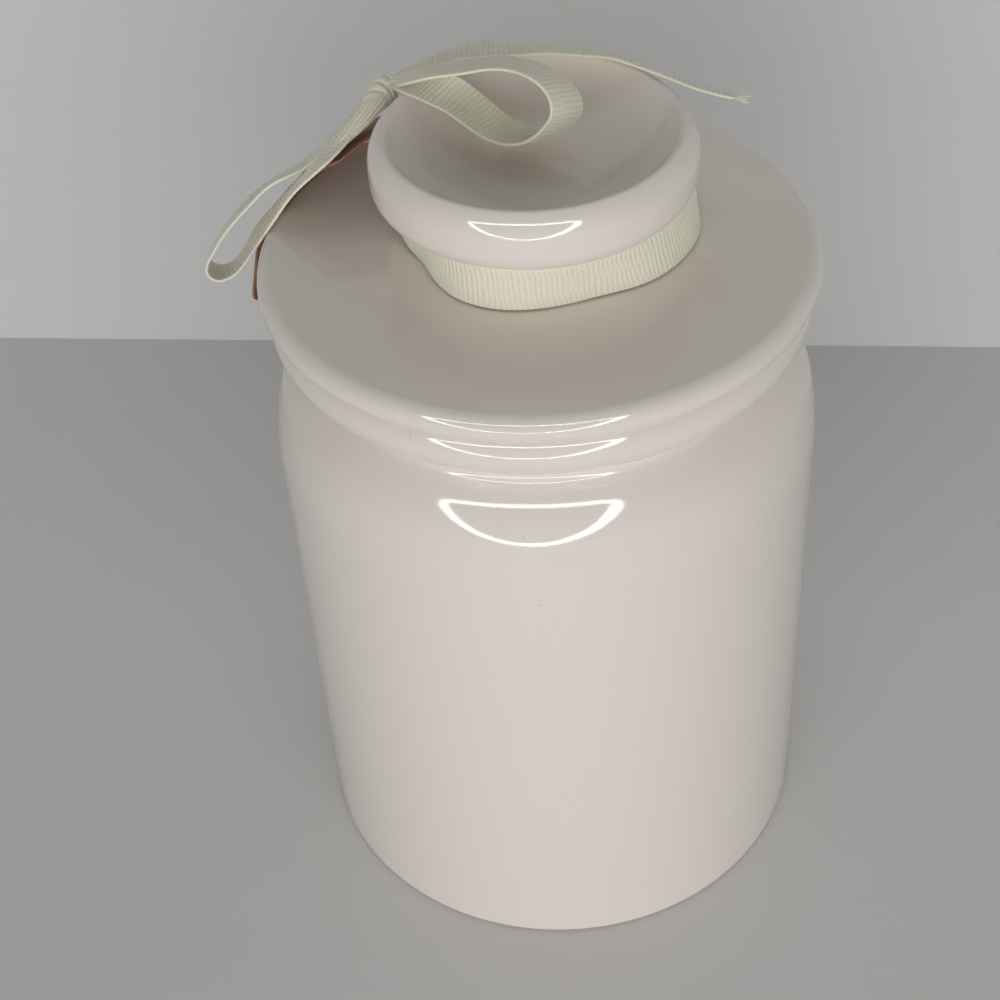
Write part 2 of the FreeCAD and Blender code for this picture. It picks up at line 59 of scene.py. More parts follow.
def addNode(tree, kind, **settings):
    node = tree.nodes.new(kind)
    for key, value in settings.items():
        if key in node.inputs:
            node.inputs[key].default_value = value
        else:
            setattr(node, key, value)
    return node


def mathNode(tree, operation, first, second=None, clamp=False):
    node = tree.nodes.new("ShaderNodeMath")
    node.operation, node.use_clamp = operation, clamp
    for slot, value in enumerate((first, second)):
        if value is None:
            continue
        if isinstance(value, (int, float)):
            node.inputs[slot].default_value = value
        else:
            tree.links.new(value, node.inputs[slot])
    return node.outputs[0]


def mixColour(tree, factor, first, second, blend="MIX"):
    node = tree.nodes.new("ShaderNodeMix")
    node.data_type, node.blend_type = "RGBA", blend
    for slot, value in ((0, factor), (6, first), (7, second)):
        if isinstance(value, (int, float)):
            node.inputs[slot].default_value = value
        elif isinstance(value, tuple):
            node.inputs[slot].default_value = (*value, 1.0)
        else:
            tree.links.new(value, node.inputs[slot])
    return node.outputs[2]


# the camera stands above the front of the jar and looks down at it
viewpoint = {
    "place": (0.0, -283.41 * mm, 343.34 * mm),
    "right": (0.99846644, -0.01206854, -0.05402891),
    "up": (0.04788319, 0.67807789, 0.73342864),
    "lens": 64.19,
}


def makeCamera(values):
    lensData = bpy.data.cameras.new("camera")
    lensData.lens = values["lens"]
    lensData.sensor_width = 36.0
    lensData.clip_start, lensData.clip_end = 0.01, 20.0
    camera = newObject("camera", lensData)
    right, up = Vector(values["right"]), Vector(values["up"])
    back = right.cross(up)
    turned = Matrix((right, up, back)).transposed().to_4x4()
    camera.matrix_world = Matrix.Translation(values["place"]) @ turned
    bpy.context.scene.camera = camera
    return camera


camera = makeCamera(viewpoint)

# floor, wall and lamps
studio = {
    "floorColour": (0.76, 0.755, 0.75),
    "wallColour": (0.73, 0.73, 0.72),
    "wallAt": 160.6 * mm,
    "wallSlope": -0.0975,
    "reach": 2.4,
    "skyStrength": 0.165,
    "hoopRadius": 216 * mm,
    "hoopTube": 22 * mm,
    "hoopTop": 18 * mm,
    "hoopDroop": 1.55,
    "hoopRound": 26,
    "hoopAside": -62 * mm,
    "hoopStrength": 12.0,
    "hoopTopThickness": 0.6,
    "hoopSpots": 160,
    "softPlace": (-0.03, -1.3, 0.21),
    "softAim": (0, 0, 0.08),
    "softSize": (2.3, 1.0),
    "softPower": 19.0,
}


def newMaterial(name):
    paint = bpy.data.materials.new(name)
    paint.use_nodes = True
    return paint, paint.node_tree, paint.node_tree.nodes["Principled BSDF"]


def plainStage(name, points, colour, seenFromBehind):
    sheet = newObject(name, meshFrom(name, points, [(0, 1, 2, 3)]))
    paint, tree, shader = newMaterial(name + "Paint")
    shader.inputs["Base Color"].default_value = (*colour, 1.0)
    shader.inputs["Roughness"].default_value = 0.85
    shader.inputs["Specular IOR Level"].default_value = 0.2
    if not seenFromBehind:
        clear = tree.nodes.new("ShaderNodeBsdfTransparent")
        sides = tree.nodes.new("ShaderNodeNewGeometry")
        choose = tree.nodes.new("ShaderNodeMixShader")
        tree.links.new(sides.outputs["Backfacing"], choose.inputs[0])
        tree.links.new(shader.outputs[0], choose.inputs[1])
        tree.links.new(clear.outputs[0], choose.inputs[2])
        tree.links.new(choose.outputs[0], tree.nodes["Material Output"].inputs[0])
    sheet.data.materials.append(paint)
    return sheet


def hoopLamp(values, camera):
    # a D-shaped glowing hoop round the camera, seen only in the gloss of the glaze
    radius, half, top = values["hoopRadius"], values["hoopTube"], values["hoopTop"]
    around, thin = values["hoopSpots"], values["hoopTopThickness"]
    start = math.asin(top / radius)
    turns = np.linspace(-start - math.pi, start, 90)
    drop = values["hoopDroop"] * (radius * np.sin(turns) - top)
    bow = np.stack([radius * np.cos(turns), top + drop], 1)
    bar = np.linspace(bow[-1], bow[0], 50)[1:]
    outline = np.concatenate([bow, bar])
    lengths = np.append(0.0, np.cumsum(np.linalg.norm(np.diff(outline, axis=0), axis=1)))
    spots = np.linspace(0.0, lengths[-1], around, endpoint=False)
    outline = np.stack([np.interp(spots, lengths, outline[:, axis]) for axis in (0, 1)], 1)
    for _ in range(values["hoopRound"]):  # rounds the two upper corners
        outline = (np.roll(outline, 1, 0) + 2 * outline + np.roll(outline, -1, 0)) / 4
    along = np.roll(outline, -1, 0) - np.roll(outline, 1, 0)
    outward = np.stack([along[:, 1], -along[:, 0]], 1) / np.linalg.norm(along, axis=1)[:, None]
    below = np.clip((top - outline[:, 1:]) / (0.3 * radius), 0.0, 1.0)
    thick = half * (thin + (1 - thin) * below)
    rings = np.concatenate([outline - outward * thick, outline + outward * thick])
    points = [(x, y, 0.0) for x, y in rings.tolist()]
    faces = [(step, (step + 1) % around, around + (step + 1) % around, around + step)
             for step in range(around)]
    mesh = meshFrom("hoopLamp", points, faces)
    mesh.transform(camera.matrix_world @ Matrix.Translation((values["hoopAside"], 0, 0)))
    hoop = newObject("hoopLamp", mesh)
    glow, tree, shader = newMaterial("hoopGlow")
    tree.nodes.remove(shader)
    shine = addNode(tree, "ShaderNodeEmission", Strength=values["hoopStrength"])
    tree.links.new(shine.outputs[0], tree.nodes["Material Output"].inputs[0])
    mesh.materials.append(glow)
    hoop.visible_camera = hoop.visible_diffuse = hoop.visible_shadow = False


def softLamp(values):
    # one big soft lamp, low in front of the jar
    lightData = bpy.data.lights.new("softLamp", "AREA")
    lightData.shape = "RECTANGLE"
    lightData.size, lightData.size_y = values["softSize"]
    lightData.energy = values["softPower"]
    lamp = newObject("softLamp", lightData)
    place = Vector(values["softPlace"])
    turn = (Vector(values["softAim"]) - place).to_track_quat("-Z", "Y")
    lamp.matrix_world = Matrix.Translation(place) @ turn.to_matrix().to_4x4()
    lamp.visible_glossy = False


def makeStudio(values, camera):
    reach, back = values["reach"], values["wallAt"]
    lean = values["wallSlope"] * reach
    floorCorners = [(-reach, -reach, 0), (reach, -reach, 0), (reach, reach, 0), (-reach, reach, 0)]
    wallCorners = [(-reach, back - lean, 0), (reach, back + lean, 0),
                   (reach, back + lean, reach), (-reach, back - lean, reach)]
    plainStage("floor", floorCorners, values["floorColour"], True)
    plainStage("wall", wallCorners, values["wallColour"], False)
    hoopLamp(values, camera)
    softLamp(values)
    world = bpy.data.worlds.new("room")
    bpy.context.scene.world = world
    world.use_nodes = True
    sky = world.node_tree.nodes["Background"]
    sky.inputs["Color"].default_value = (1.0, 1.0, 1.0, 1.0)
    sky.inputs["Strength"].default_value = values["skyStrength"]


makeStudio(studio, camera)
bpy.context.scene.view_settings.view_transform = "Standard"
print("camera and studio made")


def groupSockets(group, given, made):
    for name, kind, value in given:
        socket = group.interface.new_socket(name, in_out="INPUT", socket_type=kind)
        if value is not None:
            socket.default_value = value
    for name, kind in made:
        group.interface.new_socket(name, in_out="OUTPUT", socket_type=kind)
    return group.nodes.new("NodeGroupInput"), group.nodes.new("NodeGroupOutput")


def makeToneDrift():
    # slow change of tone over a surface, with sparse fine specks
    group = bpy.data.node_groups.new("toneDrift", "ShaderNodeTree")
    given, made = groupSockets(group, [
        ("Base", "NodeSocketColor", (0.8, 0.8, 0.8, 1.0)),
        ("Tint", "NodeSocketColor", (0.7, 0.65, 0.6, 1.0)),
        ("Patch Scale", "NodeSocketFloat", 20.0),
        ("Patch Amount", "NodeSocketFloat", 0.2),
        ("Speck Scale", "NodeSocketFloat", 900.0),
        ("Speck Amount", "NodeSocketFloat", 0.3),
        ("Speck Share", "NodeSocketFloat", 0.3),
    ], [("Color", "NodeSocketColor"), ("Height", "NodeSocketFloat")])
    where = group.nodes.new("ShaderNodeTexCoord").outputs["Object"]
    patches = addNode(group, "ShaderNodeTexNoise", Detail=3.0, Roughness=0.55)
    group.links.new(where, patches.inputs["Vector"])
    group.links.new(given.outputs["Patch Scale"], patches.inputs["Scale"])
    patchy = mathNode(group, "MULTIPLY", patches.outputs["Fac"], given.outputs["Patch Amount"])
    drift = mixColour(group, patchy, (0, 0, 0), (0, 0, 0))
    mixed = drift.node
    group.links.new(given.outputs["Base"], mixed.inputs[6])
    group.links.new(given.outputs["Tint"], mixed.inputs[7])
    cells = addNode(group, "ShaderNodeTexVoronoi")
    group.links.new(where, cells.inputs["Vector"])
    group.links.new(given.outputs["Speck Scale"], cells.inputs["Scale"])
    close = mathNode(group, "SUBTRACT", 0.22, cells.outputs["Distance"])
    dot = mathNode(group, "MULTIPLY", close, 8.0, clamp=True)
    chance = addNode(group, "ShaderNodeSeparateColor")
    group.links.new(cells.outputs["Color"], chance.inputs[0])
    kept = mathNode(group, "LESS_THAN", chance.outputs[0], given.outputs["Speck Share"])
    specks = mathNode(group, "MULTIPLY", dot, kept)
    strength = mathNode(group, "MULTIPLY", specks, given.outputs["Speck Amount"])
    speckled = mixColour(group, strength, drift, (0.32, 0.27, 0.22))
    group.links.new(speckled, made.inputs["Color"])
    group.links.new(specks, made.inputs["Height"])
    return group


def makeFibres():
    # short crossing fibres, for paper and yarn
    group = bpy.data.node_groups.new("fibres", "ShaderNodeTree")
    given, made = groupSockets(group, [
        ("Scale", "NodeSocketFloat", 400.0),
        ("Stretch", "NodeSocketVector", (1.0, 1.0, 8.0)),
        ("Contrast", "NodeSocketFloat", 1.0),
    ], [("Shade", "NodeSocketFloat")])
    where = group.nodes.new("ShaderNodeTexCoord").outputs["Object"]
    drawn = addNode(group, "ShaderNodeVectorMath", operation="MULTIPLY")
    group.links.new(where, drawn.inputs[0])
    group.links.new(given.outputs["Stretch"], drawn.inputs[1])
    strands = addNode(group, "ShaderNodeTexNoise", Detail=4.0, Roughness=0.6)
    group.links.new(drawn.outputs[0], strands.inputs["Vector"])
    group.links.new(given.outputs["Scale"], strands.inputs["Scale"])
    centred = mathNode(group, "SUBTRACT", strands.outputs["Fac"], 0.5)
    strong = mathNode(group, "MULTIPLY", centred, given.outputs["Contrast"])
    shade = mathNode(group, "ADD", strong, 0.5, clamp=True)
    group.links.new(shade, made.inputs["Shade"])
    return group


toneDrift, fibres = makeToneDrift(), makeFibres()


def useGroup(tree, group, **values):
    node = tree.nodes.new("ShaderNodeGroup")
    node.node_tree = group
    for name, value in values.items():
        node.inputs[name.replace("_", " ")].default_value = value
    return node


def bumpFrom(tree, height, strength, distance):
    node = addNode(tree, "ShaderNodeBump", Strength=strength, Distance=distance)
    tree.links.new(height, node.inputs["Height"])
    return node.outputs["Normal"]


glazeLook = {
    "colour": (0.84, 0.778, 0.715, 1.0),
    "tint": (0.78, 0.74, 0.68, 1.0),
    "bareClay": (0.62, 0.50, 0.38, 1.0),
    "roughness": 0.075,
    "bareRoughness": 0.6,
    "bareBelow": 0.5 * mm,
    "ripple": 0.6 * mm,
    "bend": 1.52,
}


def makeGlaze(look):
    # glossy glaze with faint specks; the foot is wiped bare
    glaze, tree, shader = newMaterial("glaze")
    tone = useGroup(tree, toneDrift, Base=look["colour"], Tint=look["tint"], Patch_Scale=14.0,
                    Patch_Amount=0.35, Speck_Scale=800.0, Speck_Amount=0.45, Speck_Share=0.004)
    place = addNode(tree, "ShaderNodeSeparateXYZ")
    tree.links.new(tree.nodes.new("ShaderNodeTexCoord").outputs["Object"], place.inputs[0])
    bare = mathNode(tree, "LESS_THAN", place.outputs[2], look["bareBelow"])
    tree.links.new(mixColour(tree, bare, tone.outputs["Color"], look["bareClay"][:3]),
                   shader.inputs["Base Color"])
    dull = mathNode(tree, "MULTIPLY", bare, look["bareRoughness"])
    tree.links.new(mathNode(tree, "ADD", dull, look["roughness"]), shader.inputs["Roughness"])
    ripple = addNode(tree, "ShaderNodeTexNoise", Scale=55.0, Detail=2.0)
    tree.links.new(tree.nodes["Texture Coordinate"].outputs["Object"], ripple.inputs["Vector"])
    tree.links.new(bumpFrom(tree, ripple.outputs["Fac"], 0.05, look["ripple"]), shader.inputs["Normal"])
    shader.inputs["IOR"].default_value = look["bend"]
    return glaze


ribbonLook = {
    "colour": (0.86, 0.84, 0.69, 1.0),
    "tint": (0.80, 0.76, 0.57, 1.0),
    # colour and share of the painted shade in the hollows between ribs
    "valleyShade": (0.54, 0.50, 0.36),
    "selvedge": (0.87, 0.85, 0.70),
    "valleyShadeShare": 0.6,
    "yarnShare": 0.22,
    "yarnHeight": 0.12 * mm,
    "roughness": 0.62,
    "sheen": 0.35,
    "sheenRoughness": 0.45,
}


def makeGrosgrain(look):
    # ribbed cloth: pale rib tops, painted shade in the hollows between them and a bright tight selvedge
    cloth, tree, shader = newMaterial("grosgrain")
    tone = useGroup(tree, toneDrift, Base=look["colour"], Tint=look["tint"], Patch_Scale=120.0,
                    Patch_Amount=0.35, Speck_Scale=2200.0, Speck_Amount=0.0, Speck_Share=0.0)
    yarn = useGroup(tree, fibres, Scale=2600.0, Stretch=(1.0, 1.0, 1.0), Contrast=1.4)
    rib = addNode(tree, "ShaderNodeAttribute", attribute_name="rib")
    edge = addNode(tree, "ShaderNodeAttribute", attribute_name="selvedge")
    # painted shade: the lower a point sits between ribs, the more of the shade colour it takes
    deep = mathNode(tree, "SUBTRACT", 1.0, rib.outputs["Fac"])
    deep = mathNode(tree, "POWER", deep, 2.2)
    deep = mathNode(tree, "MULTIPLY", deep, look["valleyShadeShare"])
    ribbed = mixColour(tree, deep, tone.outputs["Color"], look["valleyShade"])
    yarned = mixColour(tree, look["yarnShare"], ribbed, yarn.outputs["Shade"], "OVERLAY")
    tree.links.new(mixColour(tree, edge.outputs["Fac"], yarned, look["selvedge"]),
                   shader.inputs["Base Color"])
    yarnBump = bumpFrom(tree, yarn.outputs["Shade"], 0.35, look["yarnHeight"])
    tree.links.new(yarnBump, shader.inputs["Normal"])
    shader.inputs["Roughness"].default_value = look["roughness"]
    shader.inputs["Sheen Weight"].default_value = look["sheen"]
    shader.inputs["Sheen Roughness"].default_value = look["sheenRoughness"]
    return cloth


kraftLook = {
    "colour": (0.29, 0.150, 0.078, 1.0),
    "tint": (0.20, 0.098, 0.052, 1.0),
    "pulpShare": 0.35,
    "pulpHeight": 0.12 * mm,
    "roughness": 0.82,
}


def makeKraft(look):
    # brown card with short fibres and fine flecks
    card, tree, shader = newMaterial("kraft")
    tone = useGroup(tree, toneDrift, Base=look["colour"], Tint=look["tint"], Patch_Scale=160.0,
                    Patch_Amount=0.7, Speck_Scale=1300.0, Speck_Amount=0.55, Speck_Share=0.18)
    pulp = useGroup(tree, fibres, Scale=900.0, Stretch=(1.0, 2.6, 0.7), Contrast=1.6)
    pulpy = mixColour(tree, look["pulpShare"], tone.outputs["Color"], pulp.outputs["Shade"], "OVERLAY")
    tree.links.new(pulpy, shader.inputs["Base Color"])
    pulpBump = bumpFrom(tree, pulp.outputs["Shade"], 0.5, look["pulpHeight"])
    tree.links.new(pulpBump, shader.inputs["Normal"])
    shader.inputs["Roughness"].default_value = look["roughness"]
    return card


glaze, grosgrain, kraft = makeGlaze(glazeLook), makeGrosgrain(ribbonLook), makeKraft(kraftLook)
print("materials made")


# Turned pieces: a profile of straight runs and arcs spun round the jar's axis.
def arcPoints(start, end, radius, turnsLeft):
    start, end = Vector(start), Vector(end)
    chord = end - start
    left = Vector((-chord.y, chord.x)).normalized()
    rise = math.sqrt(max(radius ** 2 - chord.length_squared / 4, 0.0))
    centre = (start + end) / 2 + left * (rise if turnsLeft else -rise)
    first = math.atan2(*(start - centre).yx)
    sweep = math.atan2(*(end - centre).yx) - first
    sweep = (sweep + math.pi) % (2 * math.pi) - math.pi
    # no step of an arc turns more than about 3.5 degrees or is longer than about 1.2 mm
    steps = max(4, int(abs(sweep) / math.radians(3.5)), int(abs(sweep) * radius / 1.2))
    angles = [first + sweep * step / steps for step in range(1, steps + 1)]
    return [(centre.x + radius * math.cos(a), centre.y + radius * math.sin(a)) for a in angles]


def profilePoints(corners):
    line = [corners[0][:2]]
    for corner in corners[1:]:
        if len(corner) == 2:
            start, end = Vector(line[-1]), Vector(corner)
            steps = max(1, int((end - start).length / 6.0))
            line += [tuple(start.lerp(end, step / steps)) for step in range(1, steps + 1)]
        else:
            line += arcPoints(line[-1], corner[:2], corner[2], corner[3])
    return line


def turnedPiece(name, corners, around=240):
    line = profilePoints(corners)
    onAxis = [index for index, spot in enumerate(line) if spot[0] < 1e-6]
    points, rings = [], []
    for index, (across, up) in enumerate(line):
        if index in onAxis:
            rings.append([len(points)] * around)
            points.append((0.0, 0.0, up * mm))
            continue
        rings.append(list(range(len(points), len(points) + around)))
        for step in range(around):
            angle = 2 * math.pi * step / around
            points.append((across * math.cos(angle) * mm, across * math.sin(angle) * mm, up * mm))
    faces = []
    for lower, upper in zip(rings, rings[1:]):
        for step in range(around):
            after = (step + 1) % around
            face = [lower[step], lower[after], upper[after], upper[step]]
            face = [corner for spot, corner in enumerate(face) if corner not in face[:spot]]
            if len(face) > 2:
                faces.append(tuple(face))
    piece = newObject(name, meshFrom(name, points, faces))
    piece.data.materials.append(glaze)
    return piece


jarShape = {
    "height": 142.8,
    "radius": 55.0,
    "wall": 4.8,
    "floor": 6.0,
    "footRound": 1.2,
    "floorCorner": 7.0,
    "rimRadius": 52.7,
    "rimRoll": 4.6,
    "rimUnderside": 55.0,
    "neckRadius": 45.2,
    "neckHollow": 2.2,
    "shoulderBend": 38.0,
    "shoulderTurn": 18.0,
    "shoulderSlope": 57.0,
    "mouthFlare": 25.0,
    "mouthRound": 1.5,
}


def sinOf(angle):
    return math.sin(math.radians(angle))


def cosOf(angle):
    return math.cos(math.radians(angle))


def makeJar(shape):
    top, radius, wall, roll = (shape[key] for key in ("height", "radius", "wall", "rimRoll"))
    hollow, lowBend = shape["neckHollow"], shape["shoulderBend"]
    underSin, underCos = sinOf(shape["rimUnderside"]), cosOf(shape["rimUnderside"])
    turnSin, turnCos = sinOf(shape["shoulderTurn"]), cosOf(shape["shoulderTurn"])
    slopeSin, slopeCos = sinOf(shape["shoulderSlope"]), cosOf(shape["shoulderSlope"])
    flareSin, flareCos = sinOf(shape["mouthFlare"]), cosOf(shape["mouthFlare"])
    rollX, rollZ = shape["rimRadius"] - roll, top - roll
    neckX = shape["neckRadius"] + hollow
    neckZ = rollZ - ((rollX - neckX) * underCos + hollow + roll) / underSin
    highX, highZ = neckX - hollow * slopeCos, neckZ - hollow * slopeSin
    lowDrop = lowBend * (1 - turnCos)
    highBend = (radius - highX - lowDrop) / (turnCos - slopeCos)
    middleZ = highZ - highBend * (slopeSin - turnSin)
    middleX = radius - lowDrop
    startZ = middleZ - lowBend * turnSin
    throat = hollow + wall
    throatX, throatZ = neckX - throat * flareCos, neckZ + throat * flareSin
    lip = shape["mouthRound"]
    mouthX = throatX + (lip + (top - lip - throatZ) * flareSin) / flareCos
    foot, corner = shape["footRound"], shape["floorCorner"]
    inside = radius - wall
    return turnedPiece("glazedJar", [
        (0, 0),
        (radius - foot, 0),
        (radius, foot, foot, True),
        (radius, startZ),
        (middleX, middleZ, lowBend, True),
        (highX, highZ, highBend, True),
        (neckX - hollow * underCos, neckZ + hollow * underSin, hollow, False),
        (rollX + roll * underCos, rollZ - roll * underSin),
        (rollX + roll, rollZ, roll, True),
        (rollX, top, roll, True),
        (mouthX, top),
        (mouthX - lip * flareCos, top - lip + lip * flareSin, lip, True),
        (throatX, throatZ),
        (highX - wall * slopeCos, highZ - wall * slopeSin, throat, True),
        (middleX - wall * turnCos, middleZ - wall * turnSin, highBend - wall, False),
        (inside, startZ, lowBend - wall, False),
        (inside, shape["floor"] + corner),
        (inside - corner, shape["floor"], corner, False),
        (0, shape["floor"]),
    ])


jarPiece = makeJar(jarShape)
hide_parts("jar_body")
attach(jarPiece, "jar")
print("jar made")

lidShape = {
    "radius": 54.0,
    "thickness": 5.9,
    "ringDepth": 9.0,
    "ringThickness": 4.0,
    "ringOuter": 39.5,
    "knobHeight": 25.0,
    "knobRadius": 30.55,
    "knobNeck": 20.5,
    "knobNeckHeight": 4.3,
    "flareBend": 9.0,
    "wallStart": 17.3,
    "rimSlope": 6.5,
    "rimTurn": 52.0,
    "rimRoll": 0.9,
    "dishDepth": 10.0,
    "dishFloor": 8.0,
}
lidUnder = jarShape["height"]
lidTop = lidUnder + lidShape["thickness"]
knobTop = lidTop + lidShape["knobHeight"]


def makeLid(shape):
    edge, ringHalf = shape["thickness"] / 2, shape["ringThickness"] / 2
    radius, neck, knob, roll = (shape[key] for key in ("radius", "knobNeck", "knobRadius", "rimRoll"))
    ringOuter = shape["ringOuter"]
    ringInner, ringEnd = ringOuter - shape["ringThickness"], lidUnder - shape["ringDepth"]
    flareStart, wallStart = lidTop + shape["knobNeckHeight"], lidTop + shape["wallStart"]
    widening, rising = knob - neck, wallStart - flareStart
    bothBends = (widening ** 2 + rising ** 2) / (2 * widening)
    flare = shape["flareBend"]
    flareX = neck + flare * widening / bothBends
    flareZ = flareStart + flare * rising / bothBends
    slope, turnSin, turnCos = shape["rimSlope"], sinOf(shape["rimTurn"]), cosOf(shape["rimTurn"])
    rimX, rimZ = knob - slope + (slope - roll) * turnCos, knobTop - roll
    slopeZ = rimZ - (slope - roll) * turnSin
    floorZ, flat = knobTop - shape["dishDepth"], shape["dishFloor"]
    drop, run = rimZ - floorZ, rimX - flat
    dish = (run ** 2 + drop ** 2 - roll ** 2) / (2 * (roll + drop))
    return turnedPiece("glazedLid", [
        (0, lidUnder),
        (ringInner, lidUnder),
        (ringInner, ringEnd + ringHalf),
        (ringInner + ringHalf, ringEnd, ringHalf, True),
        (ringOuter, ringEnd + ringHalf, ringHalf, True),
        (ringOuter, lidUnder),
        (radius - edge, lidUnder),
        (radius, lidUnder + edge, edge, True),
        (radius - edge, lidTop, edge, True),
        (neck + 0.9, lidTop),
        (neck, lidTop + 0.9, 0.9, False),
        (neck, flareStart),
        (flareX, flareZ, flare, False),
        (knob, wallStart, bothBends - flare, True),
        (knob, slopeZ),
        (rimX + roll * turnCos, rimZ + roll * turnSin, slope, True),
        (rimX, knobTop, roll, True),
        (rimX - roll * run / (dish + roll), rimZ + roll * (dish - drop) / (dish + roll), roll, True),
        (flat, floorZ, dish, False),
        (0, floorZ),
    ])


lidPiece = makeLid(lidShape)
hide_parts("lid")
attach(lidPiece, "lid")
print("lid made")

# Ribbon: each run is a strip between two selvedge lines; the ribs are grown on it afterwards.
ribbonCloth = {
    "width": 10.0,
    "thickness": 0.34,
    "ribPitch": 1.0,
    "ribHeight": 0.13,
    "ribWander": 1.7,
    "selvedgeBead": 0.12,
    "stepsPerRib": 8,
}
# where the columns of a strip stand across its width, closer together at the selvedges
acrossPlaces = (-1.0, -0.985, -0.95, -0.9, -0.84, -0.6, -0.3, 0.0,
                0.3, 0.6, 0.84, 0.9, 0.95, 0.985, 1.0)


def shapeSockets(tree, sizes):
    # a shape tree's inputs and outputs: geometry, its named sizes and its cloth
    tree.interface.new_socket("Geometry", in_out="INPUT", socket_type="NodeSocketGeometry")
    for name, value in sizes.items():
        kind = "NodeSocketInt" if isinstance(value, int) else "NodeSocketFloat"
        tree.interface.new_socket(name, in_out="INPUT", socket_type=kind).default_value = value
    tree.interface.new_socket("Cloth", in_out="INPUT", socket_type="NodeSocketMaterial")
    tree.interface.new_socket("Geometry", in_out="OUTPUT", socket_type="NodeSocketGeometry")
    return tree.nodes.new("NodeGroupInput"), tree.nodes.new("NodeGroupOutput")


def namedAttribute(tree, name, kind):
    node = addNode(tree, "GeometryNodeInputNamedAttribute", data_type=kind)
    node.inputs["Name"].default_value = name
    return node.outputs["Attribute"]


def storeOnPoints(tree, geometry, name, value):
    kept = addNode(tree, "GeometryNodeStoreNamedAttribute", data_type="FLOAT", domain="POINT")
    kept.inputs["Name"].default_value = name
    tree.links.new(geometry, kept.inputs["Geometry"])
    if isinstance(value, float):
        kept.inputs["Value"].default_value = value
    else:
        tree.links.new(value, kept.inputs["Value"])
    return kept.outputs[0]


def finishShape(tree, geometry, given, made):
    real = tree.nodes.new("GeometryNodeRealizeInstances")
    tree.links.new(geometry, real.inputs[0])
    dressed = tree.nodes.new("GeometryNodeSetMaterial")
    tree.links.new(real.outputs[0], dressed.inputs["Geometry"])
    tree.links.new(given.outputs["Cloth"], dressed.inputs["Material"])
    tree.links.new(dressed.outputs[0], made.inputs[0])


def makeRibTree():
    # grows ribs and tight selvedges on a strip that knows its length, side and outward direction
    tree = bpy.data.node_groups.new("ribbonRibs", "GeometryNodeTree")
    given, made = shapeSockets(tree, {"Rib Pitch": 0.001, "Rib Height": 0.0001, "Rib Wander": 0.0003,
                                      "Selvedge Bead": 0.0001, "Seed": 1})
    along, side = namedAttribute(tree, "along", "FLOAT"), namedAttribute(tree, "across", "FLOAT")
    outward = namedAttribute(tree, "outward", "FLOAT_VECTOR")
    spot = tree.nodes.new("ShaderNodeCombineXYZ")
    tree.links.new(mathNode(tree, "MULTIPLY", along, 170.0), spot.inputs[0])
    tree.links.new(mathNode(tree, "MULTIPLY", side, 1.5), spot.inputs[1])
    tree.links.new(mathNode(tree, "MULTIPLY", given.outputs["Seed"], 7.3), spot.inputs[2])
    drift = addNode(tree, "ShaderNodeTexNoise", Scale=1.0, Detail=1.0)
    tree.links.new(spot.outputs[0], drift.inputs["Vector"])
    shift = mathNode(tree, "SUBTRACT", drift.outputs["Fac"], 0.5)
    shift = mathNode(tree, "MULTIPLY", shift, given.outputs["Rib Wander"])
    turns = mathNode(tree, "DIVIDE", mathNode(tree, "ADD", along, shift), given.outputs["Rib Pitch"])
    rib = mathNode(tree, "ABSOLUTE", mathNode(tree, "SINE", mathNode(tree, "MULTIPLY", turns, math.pi)))
    rib = mathNode(tree, "POWER", rib, 0.8)
    away = mathNode(tree, "ABSOLUTE", side)
    bead = mathNode(tree, "MULTIPLY", mathNode(tree, "SUBTRACT", away, 0.925), 22.0, clamp=True)
    cloth = mathNode(tree, "MULTIPLY", mathNode(tree, "SUBTRACT", 0.98, away), 14.0, clamp=True)
    risen = mathNode(tree, "MULTIPLY", rib, cloth)
    risen = mathNode(tree, "MULTIPLY", risen, given.outputs["Rib Height"])
    knobbly = mathNode(tree, "ADD", mathNode(tree, "MULTIPLY", rib, 0.7), 0.3)
    rolled = mathNode(tree, "MULTIPLY", bead, knobbly)
    rolled = mathNode(tree, "MULTIPLY", rolled, given.outputs["Selvedge Bead"])
    lift = addNode(tree, "ShaderNodeVectorMath", operation="SCALE")
    tree.links.new(outward, lift.inputs[0])
    tree.links.new(mathNode(tree, "ADD", risen, rolled), lift.inputs["Scale"])
    grown = tree.nodes.new("GeometryNodeSetPosition")
    tree.links.new(given.outputs["Geometry"], grown.inputs["Geometry"])
    tree.links.new(lift.outputs[0], grown.inputs["Offset"])
    # the rib height is kept for the cloth, which paints shade where it is low
    ribbed = storeOnPoints(tree, grown.outputs[0], "rib", rib)
    finishShape(tree, storeOnPoints(tree, ribbed, "selvedge", bead), given, made)
    return tree


ribTree = makeRibTree()


def withNodes(piece, tree, values):
    # runs a node tree on a piece and keeps the result as its plain mesh
    modifier = piece.modifiers.new("grown", "NODES")
    modifier.node_group = tree
    for socket in tree.interface.items_tree:
        if socket.in_out == "INPUT" and socket.name in values:
            modifier[socket.identifier] = values[socket.name]
    graph = bpy.context.evaluated_depsgraph_get()
    mesh = bpy.data.meshes.new_from_object(
        piece.evaluated_get(graph), preserve_all_data_layers=True, depsgraph=graph)
    piece.modifiers.remove(modifier)
    piece.data = mesh
    mesh.name = piece.name
    return piece


